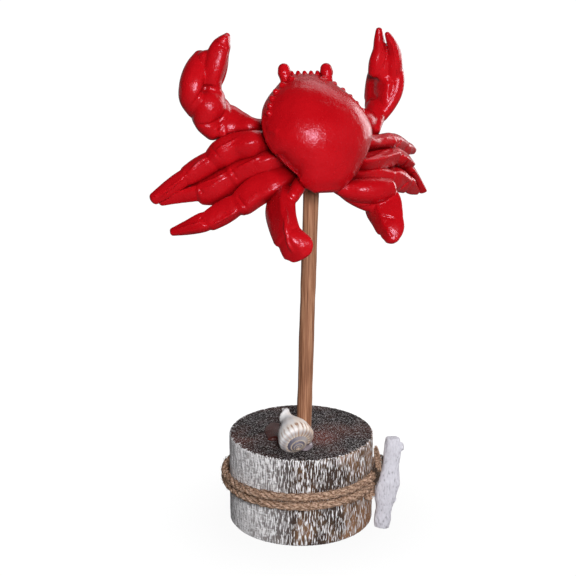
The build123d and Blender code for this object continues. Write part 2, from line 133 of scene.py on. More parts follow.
# Limbs as runs of x, y, z, half width and, where it isn't a fixed share, half depth
LIMBS = {
    "left_leg_1": [
        [(-15.0, -5.6, -8.0, 4.3), (-20.4, -5.6, -7.9, 5.1), (-23.8, -5.7, -8.0, 5.3),
         (-27.9, -5.0, -12.0, 5.6), (-32.3, -6.1, -15.1, 5.6), (-34.6, -7.1, -17.4, 4.8)],
        [(-33.5, -6.9, -16.7, 3.3), (-36.3, -8.1, -19.0, 4.4), (-40.4, -9.6, -22.2, 4.5),
         (-43.9, -10.9, -24.2, 3.9)],
        [(-43.2, -10.3, -23.7, 2.8), (-45.8, -11.8, -25.6, 3.4), (-49.9, -13.8, -29.1, 3.3),
         (-55.3, -16.3, -33.0, 2.4)],
    ],
    "left_leg_2": [
        [(-12.0, -12.4, -7.5, 4.8), (-17.5, -13.2, -9.0, 5.7), (-22.0, -13.5, -12.0, 5.5),
         (-26.4, -14.1, -16.1, 5.7), (-28.2, -14.7, -17.7, 5.8)],
        [(-27.2, -14.6, -16.9, 4.6), (-30.5, -15.6, -19.6, 5.6), (-35.2, -17.5, -22.8, 5.6),
         (-38.9, -17.6, -25.0, 4.8)],
        [(-38.2, -17.0, -24.4, 3.2), (-41.3, -17.0, -26.1, 3.4), (-46.6, -16.8, -30.1, 2.7),
         (-52.4, -17.1, -33.6, 1.9)],
    ],
    "left_leg_3": [
        [(-11.0, -17.7, -7.5, 4.2), (-16.9, -20.8, -8.8, 5.5), (-22.3, -22.1, -12.9, 5.7),
         (-26.9, -24.8, -16.4, 5.2), (-28.3, -25.5, -17.5, 4.7)],
        [(-27.5, -24.8, -16.8, 3.6), (-30.8, -25.9, -19.1, 4.4), (-34.2, -27.2, -21.9, 4.6),
         (-38.4, -28.9, -24.2, 4.1)],
        [(-37.5, -28.6, -23.4, 3.2), (-40.8, -29.0, -25.6, 3.8), (-45.4, -29.5, -29.0, 2.9),
         (-50.5, -29.7, -32.7, 1.6)],
    ],
    "left_leg_4": [
        [(-5.7, -20.1, -5.0, 3.0, 2.6), (-8.8, -23.4, -4.2, 3.0, 2.8), (-12.2, -27.0, -2.6, 2.6, 2.6),
         (-14.1, -29.2, -1.6, 2.4, 2.4)],
        [(-14.8, -24.9, -9.2, 5.7, 3.6), (-17.8, -31.4, -5.8, 6.5, 5.0), (-19.6, -37.8, -2.7, 6.1, 5.2),
         (-20.0, -44.3, -0.4, 5.8, 4.6)],
        [(-19.3, -42.6, 0.0, 4.4, 3.6), (-18.9, -46.6, 0.8, 5.8, 4.0), (-17.3, -50.2, 1.2, 6.4, 3.0),
         (-16.6, -52.6, 1.3, 4.8, 1.8)],
    ],
    "right_leg_1": [
        [(14.6, -7.5, -4.6, 3.4, 3.4), (20.6, -7.7, -5.0, 4.0, 4.0), (28.1, -6.7, -8.2, 3.4, 3.4),
         (36.0, -5.0, -11.6, 3.7, 3.7)],
        [(35.2, -5.3, -11.3, 3.2), (38.9, -4.4, -14.0, 3.7), (43.4, -3.3, -18.0, 3.6),
         (50.0, -2.2, -24.3, 2.9)],
        [(49.2, -2.8, -23.9, 2.6), (52.4, -2.3, -26.7, 2.9), (55.1, -1.5, -29.0, 2.5),
         (59.2, -1.1, -32.5, 1.5)],
    ],
    "right_leg_2": [
        [(12.0, -14.3, -4.7, 3.5, 3.7), (18.5, -16.2, -6.0, 4.9, 5.1), (27.4, -14.4, -9.3, 5.2, 5.5),
         (35.5, -11.8, -12.3, 4.5, 4.7)],
        [(34.6, -11.6, -12.0, 3.0, 3.2), (38.2, -10.8, -14.6, 4.5, 4.7), (41.7, -10.6, -17.3, 4.5, 4.7),
         (46.0, -10.9, -20.6, 4.0, 4.2)],
        [(44.8, -10.8, -20.3, 2.9, 3.0), (47.8, -12.4, -23.1, 3.5, 3.7), (53.1, -14.9, -27.6, 2.9, 3.0),
         (58.7, -18.6, -31.6, 1.7, 1.8)],
    ],
    "right_leg_3": [
        [(10.6, -18.5, -4.9, 2.7), (16.3, -21.4, -6.0, 3.6), (25.5, -19.7, -8.8, 3.8),
         (33.0, -19.9, -11.8, 3.7)],
        [(32.4, -20.0, -11.6, 3.5), (36.2, -19.4, -14.4, 4.8), (39.8, -18.7, -17.4, 4.9),
         (45.2, -18.8, -21.7, 4.0)],
        [(44.7, -18.1, -21.1, 2.9), (47.8, -18.2, -23.7, 3.5), (50.9, -18.8, -27.0, 2.9),
         (55.6, -19.3, -30.6, 1.5)],
    ],
    "right_leg_4": [
        [(3.9, -24.2, -3.5, 2.4, 2.6), (8.8, -26.6, -2.6, 3.7, 4.0), (14.1, -28.1, -1.2, 4.8, 5.6),
         (20.0, -28.7, 0.2, 5.0, 5.4), (24.5, -28.3, 0.6, 3.9, 4.2)],
        [(23.3, -29.6, -4.4, 6.9, 3.2), (23.4, -33.9, -3.6, 7.6, 5.0), (23.4, -38.6, -2.6, 6.7, 5.0),
         (23.1, -42.4, -1.8, 5.8, 4.2)],
        [(23.8, -40.5, -1.8, 5.4, 3.8), (23.5, -43.4, -1.2, 5.2, 4.0), (22.8, -46.3, -0.8, 4.3, 3.0),
         (22.3, -48.1, -0.6, 3.0, 2.0)],
        [(6.5, -25.9, -4.6, 1.7, 2.4), (10.7, -29.0, -4.2, 2.6, 2.8), (15.9, -31.4, -4.0, 3.3, 3.0),
         (20.6, -32.8, -3.8, 3.7, 3.0)],
    ],
    "left_claw": [
        [(-13.5, 2.2, -8.5, 2.4), (-17.9, 2.2, -9.4, 2.8), (-21.9, 2.4, -9.1, 3.5),
         (-24.5, 4.2, -12.0, 5.2, 3.4), (-28.0, 6.0, -14.7, 7.7, 4.6), (-30.4, 6.0, -15.9, 7.9, 5.0)],
        [(-30.4, 6.4, -15.8, 6.5), (-32.3, 8.6, -16.0, 7.7), (-34.5, 11.8, -15.6, 7.5),
         (-36.3, 14.0, -14.9, 6.1)],
        [(-33.5, 3.2, -16.0, 3.9, 4.6), (-36.7, 7.0, -14.4, 4.8, 5.4), (-35.9, 11.1, -11.9, 6.3, 6.6),
         (-34.1, 15.1, -11.1, 5.1, 5.2)],
        [(-39.2, 11.8, -15.0, 4.1, 4.6), (-41.9, 15.1, -12.5, 4.5, 6.0), (-41.9, 18.4, -10.8, 4.6, 6.6),
         (-40.8, 22.3, -9.6, 4.5, 6.2), (-38.9, 26.1, -8.4, 4.1, 5.0), (-37.0, 29.2, -7.2, 3.2, 3.6)],
        [(-34.4, 17.5, -9.1, 3.6, 3.4), (-34.5, 20.4, -6.6, 3.5, 4.4), (-33.7, 23.9, -3.8, 3.8, 4.4),
         (-32.8, 27.9, -1.1, 3.9, 3.6), (-31.4, 30.7, 0.5, 3.4, 2.6)],
        [(-32.0, 30.4, 0.3, 3.0, 2.1), (-30.6, 31.9, 1.8, 2.4, 1.9), (-29.5, 33.4, 2.6, 1.2, 1.2)],
        [(-34.5, 18.6, -12.4, 3.3), (-31.5, 22.4, -11.1, 3.5), (-30.9, 25.4, -7.0, 3.4),
         (-31.6, 28.6, -1.6, 3.2), (-31.8, 30.4, 1.6, 2.7), (-31.0, 32.0, 3.6, 1.5)],
        [(-37.5, 15.5, -13.4, 4.5, 4.6), (-37.3, 19.2, -11.0, 5.2, 4.8), (-36.9, 22.7, -8.0, 5.4, 4.4),
         (-36.2, 26.1, -5.0, 4.8, 3.4), (-36.7, 28.3, -3.6, 3.3, 2.6)],
    ],
    "right_claw": [
        [(13.5, 1.0, -5.0, 3.0), (19.5, 1.1, -6.5, 4.2), (26.4, 2.8, -10.0, 5.3), (30.4, 4.2, -13.5, 4.4)],
        [(30.1, -0.8, -11.6, 2.4, 3.4), (31.6, 2.8, -12.4, 3.2, 4.0), (33.7, 6.7, -13.8, 4.1, 4.4),
         (36.0, 10.3, -15.4, 4.6, 4.0), (38.1, 12.9, -16.6, 3.7, 3.0)],
        [(36.0, 6.6, -13.6, 2.6, 3.4), (38.7, 10.4, -11.8, 3.3, 4.4), (41.3, 14.6, -10.0, 3.5, 4.8),
         (42.5, 18.8, -8.0, 3.3, 4.6), (42.5, 22.7, -6.2, 3.0, 4.0)],
        [(36.1, 10.3, -17.4, 5.6, 2.0), (36.8, 13.1, -14.9, 7.4, 2.0), (37.2, 17.0, -13.2, 7.6, 2.0),
         (37.7, 20.8, -11.2, 7.4, 2.0), (37.9, 22.9, -9.4, 6.3, 2.0)],
        [(35.4, 22.9, -7.6, 4.0, 3.0), (35.0, 25.5, -5.0, 3.7, 3.2), (35.2, 29.2, -1.8, 3.0, 2.6),
         (34.3, 32.2, 0.8, 2.2, 2.0), (33.8, 35.4, 3.2, 1.3, 1.3)],
        [(41.4, 21.0, -6.2, 3.6, 3.4), (40.8, 23.7, -2.8, 3.3, 3.2), (40.2, 26.6, 0.0, 2.8, 2.6),
         (38.8, 28.9, 2.2, 2.2, 2.1), (36.8, 31.2, 4.4, 1.6, 1.5), (35.5, 32.6, 5.6, 1.0, 1.1)],
        [(40.4, 15.2, -12.2, 3.0, 2.8), (40.5, 19.1, -9.6, 3.3, 3.0), (38.8, 22.5, -6.6, 4.8, 2.8),
         (38.3, 24.8, -4.4, 4.5, 2.8), (37.7, 27.8, -1.6, 3.0, 2.2)],
        [(22.0, -0.2, -9.5, 3.0, 3.0), (26.5, 1.1, -11.0, 3.3, 3.4), (29.9, 1.9, -12.2, 3.0, 3.4),
         (32.1, 2.2, -13.0, 1.9, 3.0)],
    ],
}
# Shape of the limbs' sections: roundness, and how far aside the keel of the broad face lies
SECTIONS = {
    "left_leg_1": [(1.5, 0.1)], "left_leg_2": [(1.45, 0.3)], "left_leg_3": [(1.5, -0.35)],
    "left_leg_4": [(2.0, 0.0), (1.25, -0.5), (1.35, -0.2)],
    "right_leg_1": [(1.55, -0.3)], "right_leg_2": [(1.4, -0.75)], "right_leg_3": [(1.5, -0.4)],
    "right_leg_4": [(2.0, 0.0), (1.3, 0.1), (1.4, 0.1), (1.8, 0.0)],
    "left_claw": [(2.1, 0.0), (2.1, 0.0), (2.1, 0.0), (2.7, 0.3), (2.8, 0.0), (2.1, 0.0)],
    "right_claw": [(2.0, 0.0), (2.0, 0.0), (2.0, 0.0), (3.2, 0.0), (2.0, 0.0)],
}

# Lines of the castings, drawn in the photograph's pixels: width, height (under 0 a groove), points
PHOTO_LINES = {
    "carapace": [
        (1.2, 0.4, [(266, 128), (272, 130), (279, 132)]),
        (6.0, -1.7, [(263, 137), (271, 151), (281, 164), (291, 174), (300, 182)]),
    ],
    "left_claw": [
        (0.5, -0.5, [(213, 40), (219, 44), (227, 50)]),
        (0.8, -0.6, [(190, 109), (196, 101), (201, 93), (204, 88), (211, 87), (219, 89)]),
        (0.6, -0.5, [(193, 121), (201, 125), (211, 124), (219, 119), (227, 110)]),
        (0.5, 0.35, [(213, 131), (219, 127), (224, 121), (227, 115)]),
    ],
    "left_leg_1": [
        (0.5, 0.5, [(158, 198), (174, 185), (187, 175)]), (0.5, 0.5, [(188, 173), (199, 162), (211, 154)]),
        (0.5, 0.5, [(216, 150), (225, 145), (239, 137)]), (0.6, -0.42, [(210, 147), (215, 152), (221, 160)]),
        (0.6, -0.42, [(180, 167), (184, 171), (189, 177)]),
    ],
    "left_leg_2": [
        (0.5, 0.5, [(163, 198), (180, 192), (196, 186)]), (0.5, 0.5, [(200, 184), (214, 179), (229, 170)]),
        (0.5, 0.5, [(235, 169), (248, 163), (263, 156)]), (0.6, -0.42, [(230, 168), (233, 173), (238, 180)]),
        (0.6, -0.42, [(196, 183), (199, 188), (203, 194)]),
    ],
    "left_leg_3": [
        (0.5, 0.5, [(175, 230), (188, 226), (201, 222)]), (0.5, 0.5, [(209, 226), (225, 218), (240, 210)]),
        (0.6, -0.42, [(236, 195), (242, 203), (248, 209)]),
        (0.6, -0.42, [(199, 217), (203, 221), (208, 226)]),
    ],
    "left_leg_4": [
        (0.6, 0.65, [(287, 205), (286, 218), (286, 232), (289, 245), (294, 254)]),
        (0.5, -0.4, [(297, 227), (292, 229), (288, 234)]),
    ],
    "right_claw": [
        (0.5, -0.5, [(388, 50), (386, 60), (383, 71)]),
        (0.4, 0.3, [(389, 38), (393, 47), (395, 58), (395, 70)]),
        (0.4, 0.3, [(393, 42), (398, 52), (399, 64)]),
        (0.5, -0.4, [(401, 76), (402, 84), (400, 92), (396, 100)]),
        (2.2, -0.5, [(373, 79), (372, 90), (373, 101)]),
    ],
    "right_leg_1": [
        (0.8, 0.3, [(370, 143), (380, 139), (390, 137)]), (0.5, -0.5, [(395, 148), (399, 144), (402, 140)]),
        (0.5, -0.5, [(402, 153), (405, 150), (408, 146)]),
    ],
    "right_leg_2": [
        (0.8, 0.3, [(367, 158), (376, 156), (385, 151), (391, 149)]),
        (0.5, -0.5, [(401, 168), (405, 164), (408, 160)]), (0.5, -0.5, [(409, 177), (412, 174), (416, 172)]),
    ],
    "right_leg_3": [
        (0.8, 0.3, [(391, 171), (400, 173), (408, 179), (414, 185)]),
        (0.5, -0.5, [(400, 189), (404, 186), (409, 181)]),
    ],
    "right_leg_4": [
        (0.5, -0.4, [(379, 216), (386, 217), (395, 219)]), (0.6, 0.35, [(386, 230), (389, 234), (392, 237)]),
        (0.5, 0.35, [(348, 203), (360, 205), (372, 204)]),
    ],
}

# Lines of the belly, seen from a height below it in the crab's frame: width, height, points
BELLY_VIEW = -40.0
BELLY_LINES = [
    (0.7, -0.5, [(-5.4, -21.0), (-4.2, -12.0), (-1.8, -2.0), (0.0, 1.0)]),
    (0.7, -0.5, [(5.4, -21.0), (4.2, -12.0), (1.8, -2.0), (0.0, 1.0)]),
    (0.5, -0.3, [(-4.2, -14.5), (0.0, -15.2), (4.2, -14.5)]),
    (0.5, -0.3, [(-3.2, -9.0), (0.0, -9.6), (3.2, -9.0)]),
    (0.5, -0.3, [(-2.2, -4.2), (0.0, -4.6), (2.2, -4.2)]),
]

# Log-slice foot: size, round edge, flat middle of its ends, and grain of its mesh
BASE_RADIUS = 28.5
BASE_HEIGHT = 36.2
BASE_EDGE = 0.9
BASE_EYE = 0.4
BASE_COLUMNS = 480
SIDE_ROWS = 46
TOP_RINGS = 60
# Grooves down its side: depths and fineness, waves round and along it, and how far in they run
GROOVES = [(0.5, 1.0), (0.25, 2.7)]
GROOVE_WAVES = (22.0, 22.0, 0.09)
GROOVE_EDGE = 0.6
# Dents of its top: depth, waves in a millimetre, seed, and how far under the top they begin
DENT_DEPTH = 0.25
DENT_WAVES = (0.5, 0.9)
DENT_SEED = 3.0
DENT_EDGE = 0.1
# Chips of its top edge: rings at most, and waves round it
CHIP_RINGS = 9
CHIP_WAVES = 34
# Reddish stain of the top beside the shell
STAIN = (7.0, -6.5, 36.2)

# Dowel: its side waves by height, rate and start, a skin inside its radius, and has a fine grain
STICK_RADIUS = 3.0
STICK_FOOT = (1.0, 1.5)
STICK_SINK = 3.0
STICK_LEAN = 1.5
STICK_LENGTH = 118.0
STICK_STATIONS = 24
STICK_WAVES = [(0.05, 0.21, 0.0), (0.04, 0.53, 1.0)]
STICK_SKIN = 0.08
STICK_GRAIN = (0.12, (1.2, 1.2, 0.03))

# Jute twine: thickness, middle line's radius, start angle and height, fall of a turn, turns
TWINE_DIAMETER = 3.2
TWINE_RADIUS = 30.2
TWINE_START_ANGLE = -25.0
TWINE_START_HEIGHT = 22.3
TWINE_PITCH = 3.7
TWINE_TURNS = 2.0
TWINE_LENGTH = 2 * pi * TWINE_RADIUS * TWINE_TURNS
TWINE_STATIONS = 560
TWINE_SEED = 4
# How far each turn leans on the other one at the left, and sways
TWINE_GATHER = 0.7
TWINE_SWAY = 0.25
SWAYS_PER_TURN = 5.0
# Plies: radius, unevenness, distance from the middle line, length of a lay, lumps of a turn
PLY_COUNT = 3
PLY_RADIUS = 0.84
PLY_UNEVEN = 0.3
PLY_OFFSET = 0.78
PLY_LAY = 11.5
LUMPS_PER_TURN = 30
# Distance over which painted shade darkens the grooves between the plies
PLY_SHADE_REACH = 1.2
# Loose fibres: lengths, swing round the twine and lift of their ends
FIBRE_COUNT = 900
FIBRE_RADIUS = 0.07
FIBRE_OFFSET = 1.45
FIBRE_LENGTHS = (3.0, 9.0)
FIBRE_SWING = 1.4
FIBRE_LIFT = 0.9
FIBRE_FACE = (0.3, 0.2, 0.9)
# Frayed end between the foot and the twig: x, y, z, radius
FRAY = [
    (30.4, -10.6, 19.5, 1.5), (30.8, -10.6, 24.0, 1.9), (30.2, -10.2, 28.0, 1.6), (29.4, -9.8, 31.4, 1.1),
    (28.8, -9.4, 34.8, 0.6),
]
FRAY_FIBRES = 160
FRAY_RADIUS = 0.12
FRAY_STARTS = 6
FRAY_SHORTEST = 5
FRAY_DRIFT = 0.09
FRAY_FACE = (0.2, 0.9, 0.1)

# Whelk: ends, growth of one turn, turns, and its mouth's outline as radius and way from the apex
SHELL_APEX = (-1.0, -24.2, 38.8)
SHELL_CANAL = (-8.4, -5.2, 48.5)
SHELL_GROWTH = 1.6
SHELL_TURNS = 4.5
SHELL_STEPS = 48
SHELL_MOUTH = [
    (4.6, 3.2), (6.4, 3.6), (7.9, 5.2), (8.2, 7.0), (7.7, 9.6), (6.5, 12.6), (4.6, 15.4), (3.2, 17.6),
    (2.8, 19.6), (3.0, 21.0), (2.4, 22.0), (0.6, 21.8), (0.4, 17.0), (0.5, 12.4), (0.9, 8.4), (2.5, 4.9),
]
SHELL_MOUTH_ANGLE = 200.0
# Ribs and brown flames of a turn, and the lip as shrinking and turning back
SHELL_RIBS = 15
SHELL_RIB_HEIGHT = 0.018
FLAMES_PER_TURN = 24
SHELL_LIP = [(0.82, 0.0), (0.7, -0.04)]

# Glue under the shell and at the twig, as runs of x, y, z, half width and half depth
SHELL_GLUE = [
    [(-8.0, -13.5, 36.1, 3.6, 0.9), (-3.8, -11.0, 36.2, 8.0, 1.9), (0.6, -8.0, 36.1, 3.8, 0.9)],
    [(-5.0, -18.0, 36.0, 2.6, 0.8), (-3.0, -9.0, 36.2, 6.0, 1.8), (-3.0, -3.0, 36.0, 2.8, 0.8)],
    [(-10.6, 8.0, 36.0, 2.2, 0.6), (-11.4, 1.0, 36.1, 3.4, 1.0), (-8.8, -7.8, 36.2, 4.6, 1.4)],
    [(2.2, -9.5, 36.1, 1.4, 0.9), (2.6, -14.5, 36.2, 1.9, 1.8), (1.2, -18.4, 36.1, 1.5, 1.4)],
]
TWIG_GLUE = [
    [(30.9, -9.6, 15.8, 1.8), (30.9, -9.4, 21.0, 3.3), (31.0, -9.4, 25.0, 3.0), (31.2, -9.6, 29.4, 1.2)],
    [(29.4, -11.4, 19.0, 1.4), (30.6, -10.6, 22.5, 2.4), (30.4, -10.4, 26.0, 1.3)],
]

# Whitewashed twig and its broken shoots: x, y, z, half width, half depth
TWIG = [
    (31.8, -12.0, 0.7, 2.9, 1.9), (32.1, -12.0, 3.7, 3.3, 2.3), (32.4, -12.0, 6.8, 3.1, 2.3),
    (32.7, -12.0, 9.8, 3.3, 2.4), (32.9, -12.0, 13.2, 4.2, 2.7), (33.3, -12.0, 16.3, 4.4, 2.9),
    (34.2, -12.0, 19.7, 4.4, 2.9), (34.6, -12.0, 23.1, 3.8, 2.6), (34.8, -12.0, 26.5, 3.3, 2.4),
    (35.1, -12.0, 29.9, 3.3, 2.4), (35.4, -12.0, 33.3, 3.3, 2.4), (35.4, -12.0, 35.8, 3.1, 2.3),
    (35.5, -12.0, 38.3, 2.7, 1.9),
]
TWIG_SHOOTS = [
    [(37.0, -12.0, 34.6, 1.9, 1.5), (39.4, -12.2, 35.0, 1.5, 1.2)],
    [(34.8, -12.0, 13.0, 1.8, 1.5), (36.6, -12.2, 11.6, 1.4, 1.2)],
]
# Lumps of its bark: height and waves in a millimetre
BARK = [(0.3, (0.35, 0.35, 0.15)), (0.14, (1.6, 1.6, 0.7))]

# Looks: linear colours, and ramps of a share or a place in metres and a linear colour or a grey
BLACK = (0.0, 0.0, 0.0)
WHITE = (1.0, 1.0, 1.0)
RESIN_TINT = (1.0, 0.74, 0.95)
RESIN_TONES = [(0.3, (0.485, 0.003, 0.007)), (0.7, (0.585, 0.005, 0.010))]
RESIN_SHADE_RAMP = [(0.2, 0.0), (0.76, 1.0)]
# Painted shade: the deep red put into the castings' recesses
RESIN_PAINTED_SHADE = (0.15, 0.0006, 0.0015)
RESIN_ROUGHNESS = [(0.3, 0.2), (0.7, 0.28)]
DOWEL_TONES = [(0.34, (0.15, 0.055, 0.026)), (0.5, (0.39, 0.175, 0.095)), (0.64, (0.60, 0.32, 0.19))]
SIDE_BROWNS = [(0.36, (0.06, 0.038, 0.03)), (0.5, (0.12, 0.068, 0.042)), (0.64, (0.30, 0.16, 0.09))]
SIDE_LOW_BROWN = (0.27, 0.135, 0.07)
# Grey wood of the left side, partly painted light for the dimly lit left
SIDE_GREY_AND_PAINTED_LIGHT = (0.54, 0.51, 0.52)
SIDE_BESIDE = [(0.55, 0.0), (0.95, 1.0)]
SIDE_FAR = [(0.84, 0.0), (0.93, 1.0)]
SIDE_LOW = [(0.012, 1.0), (0.018, 0.0)]
SIDE_TOP = [(0.0335, 0.0), (0.0358, 0.05)]
SIDE_COVER = [(0.59, 0.0), (0.62, 1.0)]
SIDE_WHITES = [(0.60, (0.45, 0.43, 0.44)), (0.69, (1.0, 0.98, 1.0))]
TOP_BROWNS = [(0.42, (0.018, 0.012, 0.012)), (0.58, (0.045, 0.018, 0.015)), (0.7, (0.09, 0.03, 0.022))]
TOP_COVER = [(0.565, 0.0), (0.64, 0.95)]
FLECK_WHITE = (0.62, 0.59, 0.60)
STAIN_FADE = [(0.003, 0.9), (0.009, 0.0)]
STAIN_RED = (0.15, 0.04, 0.03)
JUTE_TONES = [(0.36, (0.17, 0.09, 0.052)), (0.5, (0.44, 0.275, 0.19)), (0.66, (0.72, 0.52, 0.40))]
JUTE_SHADE_RAMP = [(0.15, 0.0), (0.62, 1.0)]
# Painted shade: the dark brown put into the grooves between the plies
JUTE_PAINTED_SHADE = (0.09, 0.045, 0.024)
SHELL_CREAMS = [(0.2, (0.96, 0.94, 0.95)), (0.45, (0.94, 0.85, 0.78)), (0.8, (0.80, 0.62, 0.50))]
SHELL_FLAME = (0.33, 0.14, 0.055)
FLAME_EDGE = [(0.1, 0.0), (0.6, 1.0)]
FLAME_ASIDE = [(0.3, 0.45), (0.5, 1.0), (0.68, 0.6)]
SHOULDER = [(0.02, 0.85), (0.12, 0.6), (0.16, 1.0), (0.21, 0.9), (0.25, 0.0)]
SPIRE = [(0.62, 1.0), (0.74, 0.0)]
INNER_RINGS = [(0.08, 0.55), (0.12, 0.0)]
SHELL_RINGS = [
    (0.03, (0.62, 0.50, 0.40)), (0.06, (0.17, 0.155, 0.20)), (0.16, (0.13, 0.125, 0.17)),
    (0.2, (0.50, 0.38, 0.30)),
]
SHELL_GLUE_TINTS = [(0.2, (0.09, 0.022, 0.018)), (0.5, (0.30, 0.25, 0.28))]
TWIG_GLUE_TINTS = [(0.2, (0.40, 0.30, 0.24)), (0.5, (0.40, 0.30, 0.24))]
GLUE_IOR = 1.46
GLUE_CLOUDS = [(0.3, 0.8), (0.7, 1.0)]
TWIG_TONES = [(0.3, (0.38, 0.37, 0.41)), (0.42, (0.68, 0.66, 0.73)), (0.7, (0.78, 0.77, 0.84))]
# Glue by node: runs, the way that its broad side faces, tints from left to right, clearness
GLUE = [
    ("shell_glue", SHELL_GLUE, UP, SHELL_GLUE_TINTS, 0.1),
    ("twig_glue", TWIG_GLUE, BACK, TWIG_GLUE_TINTS, 0.85),
]
# Ramp shares in a metre across the foot and across the shell
BASE_ACROSS = 17.0
SHELL_ACROSS = 50.0

# Studio: softboxes by place, width, height in metres, power in watts and whether gloss mirrors them;
# glow of the room from front to back
LIGHT_AIM = (0.005, 0.0, 0.13)
SOFTBOXES = [
    ("front", (0.10, -0.78, 0.46), 0.27, 0.27, 7.0, True),
    ("fill", (0.80, -0.30, 0.35), 0.80, 0.80, 1.5, False),
    ("right", (0.68, 0.66, 0.30), 0.40, 0.60, 4.0, True),
    ("top", (0.32, 0.65, 0.88), 0.70, 0.40, 1.7, True),
]
WALL_GLOW = [(0.58, 0.01), (0.8, 0.04), (1.0, 0.35)]
# Floor: half its side in metres, grey, glow, and the glow's share by metres to the back and from the foot
FLOOR_HALF = 8.0
FLOOR_GREY = (0.2, 0.2, 0.2)
FLOOR_GLOW = 1.05
BACK_GLOW = [(0.3, 0.0), (0.8, 0.45)]
SHADOW = [(0.03, 0.9), (0.085, 1.0)]


def rotation(angle, axis):
    return Matrix.Rotation(radians(angle), 4, axis)


CRAB_TURN = rotation(CRAB_YAW, "Z") @ rotation(CRAB_NOSE_UP, "X") @ rotation(CRAB_ROLL, "Z")
CRAB_POSE = Matrix.Translation(Vector(CRAB_ORIGIN) * MM) @ CRAB_TURN @ Matrix.Scale(MM, 4)
WORLD_POSE = Matrix.Scale(MM, 4)


# Mesh building

def smooth_path(rows, steps):
    """Curve through rows of numbers, as more rows."""
    rows = np.array(rows, float)
    padded = np.vstack([2 * rows[0] - rows[1], rows, 2 * rows[-1] - rows[-2]])
    out = []
    for i in range(len(rows) - 1):
        p0, p1, p2, p3 = padded[i:i + 4]
        for t in np.arange(steps) / steps:
            bend = (2 * p0 - 5 * p1 + 4 * p2 - p3) * t ** 2 + (3 * p1 - p0 - 3 * p2 + p3) * t ** 3
            out.append(p1 + 0.5 * ((p2 - p0) * t + bend))
    out.append(rows[-1])
    return np.array(out)


def unit(v):
    return v / np.linalg.norm(v, axis=-1, keepdims=True)


def ring_faces(rings, sides):
    """Quads between neighbouring rings of a grid of points."""
    faces = []
    for a in range(0, (rings - 1) * sides, sides):
        for j in range(sides):
            k = (j + 1) % sides
            faces.append((a + j, a + k, a + sides + k, a + sides + j))
    return faces


def capped(rings):
    """Closed body of rings with flat ends."""
    sides = len(rings[0])
    last = (len(rings) - 1) * sides
    ends = [tuple(range(sides))[::-1], tuple(range(last, last + sides))]
    return np.vstack(rings), ring_faces(len(rings), sides) + ends


def section(power, keel, sides):
    """Points round a tube: power 2 is round, less has edges, more is boxy, and a keel bends it aside."""
    angle = np.linspace(0, 2 * pi, sides, endpoint=False)
    x = np.sign(np.cos(angle)) * np.abs(np.cos(angle)) ** (2 / power)
    y = np.sign(np.sin(angle)) * np.abs(np.sin(angle)) ** (2 / power)
    return x + keel * y * y, y


def tube(rows, face, depth=1.0, power=2.0, keel=0.0, sides=32, steps=6, cap=0.75):
    """Closed tube through rows of x, y, z, half width and half depth, round at both ends."""
    rows = [tuple(r) + ((r[3] * depth,) if len(r) == 4 else ()) for r in rows]
    line = smooth_path(rows, steps)
    run = unit(np.gradient(line[:, :3], axis=0))
    x, y = section(power, keel, sides)
    low, high = line[0], line[-1]
    stations = [(low, run[0], -t) for t in CAP_STEPS]
    stations += [(p, r, 0.0) for p, r in zip(line, run)]
    stations += [(high, run[-1], t) for t in CAP_STEPS[::-1]]
    rings = []
    for p, r, t in stations:
        across = unit(np.cross(r, face))
        up = np.cross(across, r)
        round_off = sqrt(1 - t * t)
        centre = p[:3] + r * t * cap * min(p[3], p[4])
        rings.append(centre + round_off * (np.outer(x * p[3], across) + np.outer(y * p[4], up)))
    ends = [low[:3] - run[0] * cap * min(low[3:5]), high[:3] + run[-1] * cap * min(high[3:5])]
    count = len(rings)
    faces = ring_faces(count, sides)
    foot, tip = count * sides, count * sides + 1
    last = (count - 1) * sides
    for j in range(sides):
        k = (j + 1) % sides
        faces.append((foot, k, j))
        faces.append((tip, last + j, last + k))
    return np.vstack(rings + ends), faces


def half_dome(rows, up, lap):
    """Closed half-oval body over the split between the castings, or under it."""
    line = smooth_path(rows, 5)
    angle = np.linspace(0, pi, DOME_SIDES)
    rings = []
    for y, half_width, height, lean in line:
        x = lean + half_width * np.cos(angle)
        z = up * height * np.sin(angle)
        foot = [(lean - half_width, y, -up * lap), (lean + half_width, y, -up * lap)]
        rings.append(np.vstack([np.c_[x, np.full_like(x, y), z], foot]))
    return capped(rings)


def mesh_from(name, shells):
    verts, faces = [], []
    for v, f in shells:
        faces += [tuple(i + len(verts) for i in face) for face in f]
        verts += [tuple(p) for p in v]
    mesh = bpy.data.meshes.new(name)
    mesh.from_pydata(verts, [], faces)
    mesh.update()
    return mesh


def triples(data, name):
    """Places or normals of a mesh as rows of three numbers."""
    flat = np.empty(len(data) * 3)
    data.foreach_get(name, flat)
    return flat.reshape(-1, 3)


def swell(mesh, points, height):
    """Moves the points of a mesh out along its normals."""
    moved = points + triples(mesh.vertex_normals, "vector") * height[:, None]
    mesh.vertices.foreach_set("co", moved.ravel())
    mesh.update()


def add_object(name, data):
    made = bpy.data.objects.new(name, data)
    bpy.context.scene.collection.objects.link(made)
    return made


def cast(name, shells, voxel=CAST_VOXEL):
    """One skin round all the shells, with its creases softened as in a casting."""
    rough = add_object(name, mesh_from(name, shells))
    skin = rough.modifiers.new("skin", "REMESH")
    skin.mode = "VOXEL"
    skin.voxel_size = voxel
    soft = rough.modifiers.new("soft", "SMOOTH")
    soft.factor = 0.5
    soft.iterations = OTHER_PASSES.get(name, CAST_PASSES)
    shape = rough.evaluated_get(bpy.context.evaluated_depsgraph_get())
    mesh = bpy.data.meshes.new_from_object(shape)
    mesh.name = name
    bpy.data.objects.remove(rough)
    return mesh


